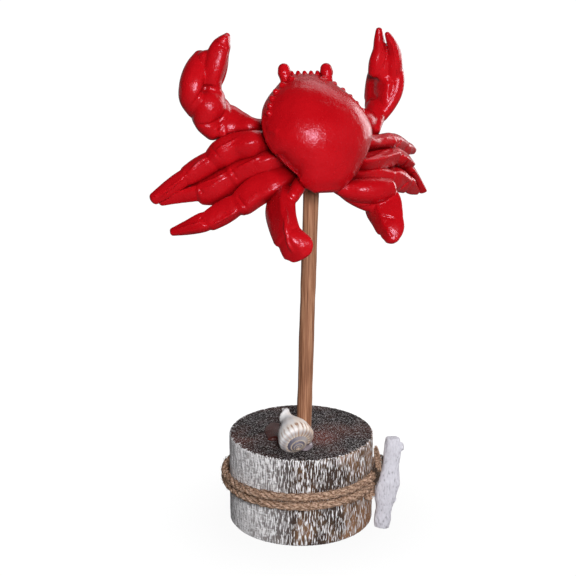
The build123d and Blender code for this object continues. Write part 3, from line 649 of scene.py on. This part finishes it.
def carve(mesh, path, width, height):
    """Raises a rounded line on the mesh along a path, or cuts it in where the height is under 0."""
    points = triples(mesh.vertices, "co")
    near = np.full(len(points), 1e9)
    along = np.zeros(len(points))
    steps = len(path) - 1
    for i in range(steps):
        run = path[i + 1] - path[i]
        t = np.clip((points - path[i]) @ run / (run @ run), 0, 1)
        d = np.linalg.norm(points - path[i] - t[:, None] * run, axis=1)
        along = np.where(d < near, (i + t) / steps, along)
        near = np.minimum(d, near)
    fade = np.clip(np.minimum(along, 1 - along) * LINE_FADE, LINE_END, 1)
    swell(mesh, points, height * np.exp(-(near / width) ** 2) * fade)


def photo_ray(pixel):
    """Ray of a photograph's pixel in the crab's frame."""
    scale = CAMERA_SENSOR / CAMERA_LENS / PHOTO_SIDE
    way = Vector(((pixel[0] - PHOTO_SIDE / 2) * scale, (PHOTO_SIDE / 2 - pixel[1]) * scale, -1.0))
    way = rotation(90 - CAMERA_TILT, "X").to_3x3() @ way
    back = CRAB_POSE.inverted()
    return back @ CAMERA_PLACE, (back.to_3x3() @ way).normalized()


def belly_ray(spot):
    """Ray up to a spot of the belly in the crab's frame."""
    return Vector((*spot, BELLY_VIEW)), Vector(UP)


def draw_lines(mesh, lines, ray):
    """Carves lines where the rays of their points first meet the mesh."""
    tree = BVHTree.FromPolygons([v.co for v in mesh.vertices], [p.vertices for p in mesh.polygons])
    for width, height, points in lines:
        found = [tree.ray_cast(*ray(p))[0] for p in points]
        path = [np.array(p) for p in found if p is not None]
        if len(path) > 1:
            carve(mesh, smooth_path(path, LINE_STEPS), width, height)


def roughen(mesh, height, waves):
    """Lumps over the whole mesh, so many in a millimetre along each axis."""
    points = triples(mesh.vertices, "co")
    lumps = [noise.noise(Vector(p)) for p in points * np.array(waves)]
    swell(mesh, points, height * np.array(lumps))


def place(name, mesh, node, materials, pose=WORLD_POSE):
    """Sets a mesh into the frame in place of a CAD node."""
    mesh.transform(pose)
    mesh.materials.clear()
    for made in materials:
        mesh.materials.append(made)
    mesh.polygons.foreach_set("use_smooth", np.ones(len(mesh.polygons), bool))
    piece = add_object(name, mesh)
    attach(piece, "root")
    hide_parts(node)


# Materials

def material(name, roughness, specular):
    made = bpy.data.materials.new(name)
    made.use_nodes = True
    shader = made.node_tree.nodes["Principled BSDF"]
    shader.inputs["Roughness"].default_value = roughness
    shader.inputs["Specular IOR Level"].default_value = specular
    return made, made.node_tree, shader


def add_node(tree, kind):
    return tree.nodes.new("ShaderNode" + kind)


def grain(tree, per_mm, detail=2.0, turn=0.0):
    """Noise with so many lumps in a millimetre, the same number or one for each axis."""
    coords = add_node(tree, "TexCoord")
    mapping = add_node(tree, "Mapping")
    mapping.inputs["Rotation"].default_value[2] = radians(turn)
    mapping.inputs["Scale"].default_value = np.broadcast_to(per_mm, 3) / MM
    lumps = add_node(tree, "TexNoise")
    lumps.inputs["Scale"].default_value = 1.0
    lumps.inputs["Detail"].default_value = detail
    plug(tree, coords.outputs["Object"], mapping.inputs["Vector"])
    plug(tree, mapping.outputs["Vector"], lumps.inputs["Vector"])
    return lumps.outputs["Fac"]


def ramp(tree, value, stops):
    """Colour ramp: stops are a place and a linear colour or a grey."""
    made = add_node(tree, "ValToRGB")
    band = made.color_ramp
    while len(band.elements) < len(stops):
        band.elements.new(0.5)
    for element, (at, colour) in zip(band.elements, stops):
        element.position = at
        element.color = (*np.broadcast_to(colour, 3), 1)
    plug(tree, value, made.inputs["Fac"])
    return made.outputs["Color"]


def plug(tree, value, slot):
    """Gives a slot a number, a linear colour or what a socket says."""
    if isinstance(value, (int, float)):
        slot.default_value = value
    elif isinstance(value, tuple):
        slot.default_value = (*value, 1)
    else:
        tree.links.new(value, slot)


def maths(tree, kind, *values):
    made = add_node(tree, "Math")
    made.operation = kind
    for value, slot in zip(values, made.inputs):
        plug(tree, value, slot)
    return made.outputs["Value"]


def mix(tree, factor, a, b):
    """Blend of two colours, each a socket or a linear colour."""
    made = add_node(tree, "Mix")
    made.data_type = "RGBA"
    for value, slot in ((factor, 0), (a, 6), (b, 7)):
        plug(tree, value, made.inputs[slot])
    return made.outputs[2]


def bump(tree, shader, height, depth, strength):
    made = add_node(tree, "Bump")
    made.inputs["Strength"].default_value = strength
    made.inputs["Distance"].default_value = depth * MM
    plug(tree, height, made.inputs["Height"])
    plug(tree, made.outputs["Normal"], shader.inputs["Normal"])


def position(tree, axis, source="Object"):
    """One coordinate of a place, in metres or as a share of the map."""
    coords = add_node(tree, "TexCoord")
    split = add_node(tree, "SeparateXYZ")
    plug(tree, coords.outputs[source], split.inputs["Vector"])
    return split.outputs[axis]


def ramp_share(tree, per_metre):
    """Place from left to right as a share of a ramp, with the middle at a half."""
    return maths(tree, "MULTIPLY_ADD", position(tree, "X"), per_metre, 0.5)


def distance_from(tree, spot):
    """Distance in metres from a spot given in millimetres."""
    coords = add_node(tree, "TexCoord")
    made = add_node(tree, "VectorMath")
    made.operation = "DISTANCE"
    plug(tree, coords.outputs["Object"], made.inputs[0])
    made.inputs[1].default_value = [s * MM for s in spot]
    return made.outputs["Value"]


def openness(tree, reach, stops):
    """Share from the recesses of a surface to its open places."""
    made = add_node(tree, "AmbientOcclusion")
    made.inputs["Distance"].default_value = reach * MM
    return ramp(tree, made.outputs["AO"], stops)


def weigh(tree, total, *shares):
    """Adds more values to a total, each with its weight."""
    for value, weight in shares:
        total = maths(tree, "MULTIPLY_ADD", value, weight, total)
    return total


def paint(tree, shader, tone):
    plug(tree, tone, shader.inputs["Base Color"])


def red_resin():
    """Glossy red with painted shade in its recesses, with a fine peel on broad waves."""
    made, tree, shader = material("red_resin", 0.28, 0.3)
    plug(tree, RESIN_TINT, shader.inputs["Specular Tint"])
    tone = ramp(tree, grain(tree, 0.06), RESIN_TONES)
    # Painted shade: the red turns deep red in recesses, from ambient occlusion
    paint(tree, shader, mix(tree, openness(tree, PAINTED_SHADE_REACH, RESIN_SHADE_RAMP), RESIN_PAINTED_SHADE, tone))
    plug(tree, ramp(tree, grain(tree, 0.9), RESIN_ROUGHNESS), shader.inputs["Roughness"])
    peel = grain(tree, 1.5)
    waves = grain(tree, 0.22, 1.0)
    bump(tree, shader, weigh(tree, peel, (waves, 3.8)), 0.13, 0.8)
    return made


def dowel_wood():
    """Sanded wood with fine and broad grain along the dowel."""
    made, tree, shader = material("dowel_wood", 0.6, 0.3)
    fine = grain(tree, (2.2, 2.2, 0.06), 4.0)
    broad = grain(tree, (0.5, 0.5, 0.02))
    both = weigh(tree, maths(tree, "MULTIPLY", fine, 0.6), (broad, 0.4))
    paint(tree, shader, ramp(tree, both, DOWEL_TONES))
    bump(tree, shader, fine, 0.12, 0.5)
    return made


def brushed_side():
    """Brown stained side of the log slice, with white paint dragged over its grain, thicker to the left,
    where it and the greyer wood are partly painted light on the dimly lit side.
    """
    made, tree, shader = material("brushed_side", 0.75, 0.25)
    streaks = grain(tree, (2.5, 2.5, 0.34))
    hatch = grain(tree, (0.45, 0.45, 2.2), 1.5)
    patches = grain(tree, (0.12, 0.12, 0.07))
    left = ramp(tree, ramp_share(tree, -BASE_ACROSS), SIDE_BESIDE)
    right = ramp(tree, ramp_share(tree, BASE_ACROSS), SIDE_BESIDE)
    far_right = ramp(tree, ramp_share(tree, BASE_ACROSS), SIDE_FAR)
    low_right = maths(tree, "MULTIPLY", far_right, ramp(tree, position(tree, "Z"), SIDE_LOW))
    top_edge = ramp(tree, position(tree, "Z"), SIDE_TOP)
    # More white to the left: partly real paint, partly painted light for the dim left side
    hatched = maths(tree, "MULTIPLY", maths(tree, "SUBTRACT", hatch, 0.29), left)
    cover = weigh(tree, streaks, (top_edge, 1.0), (patches, 0.12), (hatched, 0.75), (right, -0.02),
                  (low_right, -0.03))
    warmth = weigh(tree, maths(tree, "SUBTRACT", patches, 0.13), (right, 0.2))
    brown = mix(tree, low_right, ramp(tree, warmth, SIDE_BROWNS), SIDE_LOW_BROWN)
    # Greyer wood to the left: partly painted light for the dim left side
    wood = mix(tree, left, brown, SIDE_GREY_AND_PAINTED_LIGHT)
    white = ramp(tree, cover, SIDE_WHITES)
    paint(tree, shader, mix(tree, ramp(tree, cover, SIDE_COVER), wood, white))
    bump(tree, shader, streaks, 0.5, 0.7)
    return made


def dark_top():
    """Dark stained sawn face of the log slice, with white flecks and a reddish stain."""
    made, tree, shader = material("dark_top", 0.75, 0.12)
    flecks = grain(tree, (2.0, 3.2, 2.0), 3.0, 30.0)
    wood = ramp(tree, grain(tree, 0.07), TOP_BROWNS)
    wood = mix(tree, ramp(tree, distance_from(tree, STAIN), STAIN_FADE), wood, STAIN_RED)
    paint(tree, shader, mix(tree, ramp(tree, flecks, TOP_COVER), wood, FLECK_WHITE))
    bump(tree, shader, flecks, 0.3, 0.6)
    return made


def jute():
    """Fibres in light and dark browns, with painted shade in the grooves between the plies."""
    made, tree, shader = material("jute", 0.85, 0.15)
    fibres = grain(tree, (1.0, 1.0, 2.4), 3.0)
    tone = ramp(tree, fibres, JUTE_TONES)
    # Painted shade: the fibres turn dark brown in the grooves, from ambient occlusion
    paint(tree, shader, mix(tree, openness(tree, PLY_SHADE_REACH, JUTE_SHADE_RAMP), JUTE_PAINTED_SHADE, tone))
    bump(tree, shader, fibres, 0.25, 0.7)
    return made


def whelk():
    """Cream shell: its map's U counts the turns and V runs from the suture to the canal."""
    made, tree, shader = material("whelk", 0.45, 0.35)
    turn = position(tree, "X", "UV")
    along = position(tree, "Y", "UV")
    clouds = grain(tree, 0.25, 3.0)
    aside = weigh(tree, ramp_share(tree, SHELL_ACROSS), (maths(tree, "SUBTRACT", clouds, 0.5), 0.9))
    wander = maths(tree, "MULTIPLY", grain(tree, 0.3, 1.0), 6.0)
    wave = maths(tree, "SINE", weigh(tree, wander, (turn, FLAMES_PER_TURN * 2 * pi)))
    flames = maths(tree, "MULTIPLY", ramp(tree, wave, FLAME_EDGE), ramp(tree, aside, FLAME_ASIDE))
    flames = maths(tree, "MULTIPLY", flames, ramp(tree, along, SHOULDER))
    spire = ramp(tree, maths(tree, "MULTIPLY", turn, 0.2), SPIRE)
    ringed = maths(tree, "MAXIMUM", spire, ramp(tree, along, INNER_RINGS))
    tone = mix(tree, ringed, ramp(tree, aside, SHELL_CREAMS), ramp(tree, along, SHELL_RINGS))
    brown = maths(tree, "MULTIPLY", flames, maths(tree, "SUBTRACT", 1.0, spire))
    paint(tree, shader, mix(tree, brown, tone, SHELL_FLAME))
    bump(tree, shader, clouds, 0.2, 0.4)
    return made


def clear_glue(name, tints, clearness):
    """Set glue with faint clouds, tinted by a ramp from left to right."""
    made, tree, shader = material(name, 0.2, 0.2)
    shader.inputs["Transmission Weight"].default_value = clearness
    shader.inputs["IOR"].default_value = GLUE_IOR
    tone = ramp(tree, ramp_share(tree, SHELL_ACROSS), tints)
    clouds = ramp(tree, grain(tree, 0.25), GLUE_CLOUDS)
    paint(tree, shader, mix(tree, clouds, BLACK, tone))
    bump(tree, shader, grain(tree, 0.4), 0.3, 0.5)
    return made


def whitewash():
    """Thin white paint over grey bark."""
    made, tree, shader = material("whitewash", 0.8, 0.2)
    flecks = grain(tree, (1.5, 1.5, 0.5), 4.0)
    paint(tree, shader, ramp(tree, flecks, TWIG_TONES))
    bump(tree, shader, flecks, 0.35, 0.7)
    return made


# Pieces

def margin_x(side, y, height):
    """Place of the upper casting's margin on one side, at a height over the split."""
    rows = np.array(CARAPACE[::-1])
    half_width, top, lean = [np.interp(y, rows[:, 0], rows[:, i]) for i in (1, 2, 3)]
    return lean + side * half_width * sqrt(max(0.0, 1 - (height / top) ** 2))


def build_carapace(resin):
    shells = [half_dome(CARAPACE, 1, CARAPACE_LAP)]
    for side in (-1, 1):
        rim = [(margin_x(side, y, RIM_HEIGHT), y, RIM_HEIGHT, RIM_RADIUS) for y in np.linspace(*RIM_REACH)]
        shells.append(tube(rim, UP, steps=2, sides=12))
        for y in SIDE_TEETH_Y:
            x = margin_x(side, y, TOOTH_HEIGHT) - SIDE_TEETH_SHIFT
            tooth = [(x - side * inside, y + along, TOOTH_HEIGHT, r) for inside, along, r in SIDE_TOOTH]
            shells.append(tube(tooth, UP, steps=3, sides=14, cap=1.0))
    for x in FRONT_TEETH_X:
        tooth = [(x, y, FRONT_TOOTH_HEIGHT, radius) for y, radius in FRONT_TOOTH]
        shells.append(tube(tooth, UP, steps=3, sides=14, cap=1.0))
    mesh = cast("carapace_skin", shells)
    draw_lines(mesh, PHOTO_LINES["carapace"], photo_ray)
    place("carapace_skin", mesh, "carapace", [resin], CRAB_POSE)


def build_underbody(resin):
    shells = [half_dome(UNDERBODY, -1, UNDERBODY_LAP)]
    for side in (-1, 1):
        shells.append(tube([(side * x, *rest) for x, *rest in MOUTH_PLATE], MOUTH_FACE))
    mesh = cast("underbody_skin", shells)
    draw_lines(mesh, BELLY_LINES, belly_ray)
    place("underbody_skin", mesh, "underbody", [resin], CRAB_POSE)


def build_eyes(resin):
    for side, name in ((-1, "left_eye"), (1, "right_eye")):
        rows = [(side * x + EYE_OFFSET, y, z, r) for x, y, z, r in EYE]
        mesh = cast(name + "_skin", [tube(rows, UP, cap=1.0)], EYE_VOXEL)
        place(name + "_skin", mesh, name, [resin], CRAB_POSE)


def build_limbs(resin):
    """Claws and legs; the last face and section given for a limb serve the rest of its runs."""
    for name, runs in LIMBS.items():
        faces = FACES[name] + FACES[name][-1:] * len(runs)
        depth = CLAW_DEPTH if name.endswith("claw") else LEG_DEPTH
        sections = SECTIONS[name] + SECTIONS[name][-1:] * len(runs)
        shells = [tube(rows, face, depth, *shape) for rows, face, shape in zip(runs, faces, sections)]
        mesh = cast(name + "_skin", shells)
        draw_lines(mesh, PHOTO_LINES[name], photo_ray)
        place(name + "_skin", mesh, name, [resin], CRAB_POSE)


def base_rows():
    """Radius and height of the log slice's foot and side, and of its top edge and top."""
    inner = BASE_RADIUS - BASE_EDGE
    upper = BASE_HEIGHT - BASE_EDGE
    turn = np.linspace(0, pi / 2, 5)[1:]
    corner = [(inner + BASE_EDGE * cos(a), BASE_EDGE * sin(a)) for a in turn]
    lower = [(BASE_EYE, 0.0), (BASE_RADIUS / 2, 0.0)]
    lower += [(r, BASE_EDGE - h) for r, h in corner[::-1]]
    lower += [(BASE_RADIUS, h) for h in np.linspace(BASE_EDGE, upper, SIDE_ROWS)]
    top = [(r, upper + h) for r, h in corner]
    top += [(r, BASE_HEIGHT) for r in np.linspace(inner, BASE_EYE, TOP_RINGS)[1:]]
    return lower, top


def groove_depth(a, h):
    """Depth of the side's grooves at an angle and a height."""
    x, y, z = GROOVE_WAVES
    p = Vector((cos(a) * x, sin(a) * y, h * z))
    return sum(depth * abs(noise.noise(p * fineness)) for depth, fineness in GROOVES)


def dent_depth(a, r):
    """Depth of the top's dents at an angle and a radius."""
    x, y = DENT_WAVES
    return DENT_DEPTH * abs(noise.noise(Vector((r * cos(a) * x, r * sin(a) * y, DENT_SEED))))


def chip_rings(a):
    """Rings of the top that the side's paint takes up at an angle."""
    return int(CHIP_RINGS * max(0.0, noise.noise(Vector((cos(a), sin(a), 0)) * CHIP_WAVES)))


def build_base(side_material, top_material):
    """Log slice with grooves down its side and a sawn, worn top."""
    angle = np.linspace(0, 2 * pi, BASE_COLUMNS, endpoint=False)
    lower, top = base_rows()
    rings = []
    for r, h in lower + top:
        radius = np.full(BASE_COLUMNS, r)
        height = np.full(BASE_COLUMNS, h)
        if r > BASE_RADIUS - GROOVE_EDGE:
            radius -= [groove_depth(a, h) for a in angle]
        if h > BASE_HEIGHT - DENT_EDGE:
            height -= [dent_depth(a, r) for a in angle]
        rings.append(np.c_[radius * np.cos(angle), radius * np.sin(angle), height])
    mesh = mesh_from("log_slice", [capped(rings)])
    place("log_slice", mesh, "base_disc", [side_material, top_material])
    first_top = len(lower) + 1
    chips = [chip_rings(a) for a in angle]
    for p in mesh.polygons:
        ring, column = divmod(min(p.vertices), BASE_COLUMNS)
        p.material_index = 1 if ring >= first_top + chips[column] else 0


def build_stick(wood):
    lean = radians(STICK_LEAN)
    rows = []
    for along in np.linspace(-STICK_SINK, STICK_LENGTH, STICK_STATIONS):
        x = STICK_FOOT[0] + along * sin(lean)
        z = BASE_HEIGHT + along * cos(lean)
        wobble = sum(height * sin(along * rate + start) for height, rate, start in STICK_WAVES)
        rows.append((x, STICK_FOOT[1], z, STICK_RADIUS - STICK_SKIN + wobble))
    mesh = mesh_from("dowel", [tube(rows, BACK, sides=64, steps=4, cap=0.2)])
    roughen(mesh, *STICK_GRAIN)
    place("dowel", mesh, "stick", [wood])


def twine_line(turn):
    """Place on the twine's middle line after so many turns, and the way out from the foot there."""
    angle = radians(TWINE_START_ANGLE - 360 * turn)
    out = Vector((cos(angle), sin(angle), 0))
    sway = TWINE_SWAY * noise.noise(Vector((turn * SWAYS_PER_TURN, 2.0, 0.0)))
    gather = TWINE_GATHER * max(0.0, -out.x) ** 2 * (1 if turn > 1 else -1)
    height = TWINE_START_HEIGHT - TWINE_PITCH * turn + sway + gather
    return out * TWINE_RADIUS + Vector((0, 0, height)), out


def round_twine(out, angle):
    """Way off the twine's middle line at an angle round it."""
    return out * cos(angle) + Vector((0, 0, sin(angle)))


def twine_ply(ply, turns):
    """One of the plies that are laid round each other."""
    rows = []
    for turn in turns:
        centre, out = twine_line(turn)
        lay = 2 * pi * (turn / TWINE_TURNS * TWINE_LENGTH / PLY_LAY + ply / PLY_COUNT)
        thick = PLY_RADIUS * (1 + PLY_UNEVEN * noise.noise(Vector((turn * LUMPS_PER_TURN, ply * 7, 1))))
        rows.append((*(centre + round_twine(out, lay) * PLY_OFFSET), thick))
    return tube(rows, UP, sides=10, steps=1)


def loose_fibre(rng):
    """Fibre that stands off the twine at one end."""
    start = rng.uniform(0, TWINE_TURNS)
    reach = rng.uniform(*FIBRE_LENGTHS) / TWINE_LENGTH * TWINE_TURNS * rng.choice((-1, 1))
    lay = rng.uniform(0, 2 * pi)
    swing = rng.uniform(-FIBRE_SWING, FIBRE_SWING)
    lift = rng.uniform(0.0, FIBRE_LIFT)
    rows = []
    for t in np.linspace(0, 1, 5):
        centre, out = twine_line(start + reach * t)
        offset = round_twine(out, lay + swing * t) * (FIBRE_OFFSET + lift * t * t)
        rows.append((*(centre + offset), FIBRE_RADIUS))
    return tube(rows, FIBRE_FACE, sides=4, steps=2)


def frayed_fibre(rng, line):
    """Fibre of the twine's untwisted end."""
    angle = rng.uniform(0, 2 * pi)
    share = sqrt(rng.uniform(0, 1))
    first = rng.integers(0, FRAY_STARTS)
    last = rng.integers(first + FRAY_SHORTEST, len(line))
    drift = rng.uniform(-FRAY_DRIFT, FRAY_DRIFT)
    rows = []
    for i in range(first, last, 2):
        x, y, z, radius = line[i]
        a = angle + drift * i
        rows.append((x + share * radius * cos(a), y + share * radius * sin(a), z, FRAY_RADIUS))
    return tube(rows, FRAY_FACE, sides=5, steps=2)


def build_twine(fibre):
    over = TWINE_DIAMETER / TWINE_LENGTH * TWINE_TURNS
    turns = np.linspace(-over, TWINE_TURNS + over, TWINE_STATIONS)
    shells = [twine_ply(ply, turns) for ply in range(PLY_COUNT)]
    rng = np.random.default_rng(TWINE_SEED)
    shells += [loose_fibre(rng) for _ in range(FIBRE_COUNT)]
    end_line = smooth_path(FRAY, 4)
    shells += [frayed_fibre(rng, end_line) for _ in range(FRAY_FIBRES)]
    place("jute_twine", mesh_from("jute_twine", shells), "twine", [fibre])


def whelk_rings(outline):
    """Rings of the whelk's skin: its mouth's outline, turned and scaled about the apex, then the lip."""
    rings = []
    for turn in np.linspace(0, SHELL_TURNS, int(SHELL_TURNS * SHELL_STEPS) + 1):
        size = SHELL_GROWTH ** (turn - SHELL_TURNS)
        angle = radians(SHELL_MOUTH_ANGLE) + 2 * pi * (turn - SHELL_TURNS)
        rib = 1 + SHELL_RIB_HEIGHT * cos(2 * pi * SHELL_RIBS * turn)
        r = outline[:, 0] * size * rib
        rings.append(np.c_[r * cos(angle), r * sin(angle), outline[:, 1] * size])
    middle = rings[-1].mean(axis=0)
    for inset, back in SHELL_LIP:
        turned = middle + (rings[-1] - middle) * inset
        rings.append(turned @ np.array(rotation(-360 * back, "Z").to_3x3()))
    return rings


def build_shell(cream):
    outline = smooth_path(SHELL_MOUTH + SHELL_MOUTH[:1], 3)[:-1]
    sides = len(outline)
    mesh = mesh_from("whelk", [capped(whelk_rings(outline))])
    uv = mesh.uv_layers.new(name="growth")
    for loop in mesh.loops:
        ring, side = divmod(loop.vertex_index, sides)
        uv.data[loop.index].uv = (min(ring / SHELL_STEPS, SHELL_TURNS), side / sides)
    apex = Vector(SHELL_APEX)
    axis = (Vector(SHELL_CANAL) - apex).to_track_quat("Z", "Y").to_matrix().to_4x4()
    place("whelk", mesh, "seashell", [cream], WORLD_POSE @ Matrix.Translation(apex) @ axis)


def build_glue():
    for name, runs, face, tints, clearness in GLUE:
        mesh = cast(name + "_drop", [tube(rows, face) for rows in runs], DROP_VOXEL)
        place(name + "_drop", mesh, name, [clear_glue(name + "_clear", tints, clearness)])


def build_twig(white):
    shells = [tube(TWIG, BACK, power=2.6, cap=0.25)]
    shells += [tube(rows, BACK, cap=0.3) for rows in TWIG_SHOOTS]
    mesh = cast("white_twig_bark", shells, DROP_VOXEL)
    for height, waves in BARK:
        roughen(mesh, height, waves)
    place("white_twig_bark", mesh, "white_twig", [white])


# Stage

def floor_white():
    """White floor that glows for the camera and at the back, less by the foot, where its shadow lies."""
    made, tree, shader = material("floor_white", 0.9, 0.1)
    paint(tree, shader, FLOOR_GREY)
    glow = add_node(tree, "Emission")
    glow.inputs["Strength"].default_value = FLOOR_GLOW
    path = add_node(tree, "LightPath")
    clear = ramp(tree, distance_from(tree, (0, 0, 0)), SHADOW)
    seen = maths(tree, "MULTIPLY", path.outputs["Is Camera Ray"], clear)
    share = maths(tree, "MAXIMUM", seen, ramp(tree, position(tree, "Y"), BACK_GLOW))
    blend = add_node(tree, "MixShader")
    plug(tree, share, blend.inputs[0])
    plug(tree, shader.outputs[0], blend.inputs[1])
    plug(tree, glow.outputs[0], blend.inputs[2])
    plug(tree, blend.outputs[0], tree.nodes["Material Output"].inputs["Surface"])
    return made


def build_stage():
    corners = [(x * FLOOR_HALF, y * FLOOR_HALF, 0) for x, y in ((-1, -1), (1, -1), (1, 1), (-1, 1))]
    mesh = mesh_from("floor", [(corners, [(0, 1, 2, 3)])])
    mesh.materials.append(floor_white())
    floor = add_object("floor", mesh)


def build_world():
    """White room for the camera; for light, a bright back wall and a dim front."""
    world = bpy.data.worlds.new("studio")
    bpy.context.scene.world = world
    world.use_nodes = True
    tree = world.node_tree
    path = add_node(tree, "LightPath")
    far = maths(tree, "MULTIPLY_ADD", position(tree, "Y", "Generated"), 0.5, 0.5)
    seen = mix(tree, path.outputs["Is Camera Ray"], ramp(tree, far, WALL_GLOW), WHITE)
    plug(tree, seen, tree.nodes["Background"].inputs["Color"])


def build_lights():
    for name, spot, width, height, power, mirrored in SOFTBOXES:
        light = bpy.data.lights.new(name, "AREA")
        light.shape = "RECTANGLE"
        light.size = width
        light.size_y = height
        light.energy = power
        lamp = add_object(name, light)
        lamp.location = spot
        lamp.rotation_euler = (Vector(LIGHT_AIM) - Vector(spot)).to_track_quat("-Z", "Y").to_euler()
        lamp.visible_glossy = mirrored


def build_camera():
    camera = add_object("camera", bpy.data.cameras.new("camera"))
    camera.data.lens = CAMERA_LENS
    camera.data.sensor_width = CAMERA_SENSOR
    camera.location = CAMERA_PLACE
    camera.rotation_euler = (radians(90 - CAMERA_TILT), 0, 0)
    bpy.context.scene.camera = camera


resin = red_resin()
build_carapace(resin)
build_underbody(resin)
build_eyes(resin)
build_limbs(resin)
build_base(brushed_side(), dark_top())
build_stick(dowel_wood())
build_twine(jute())
build_shell(whelk())
build_glue()
build_twig(whitewash())
build_stage()
build_world()
build_lights()
build_camera()
bpy.context.scene.view_settings.view_transform = "Standard"
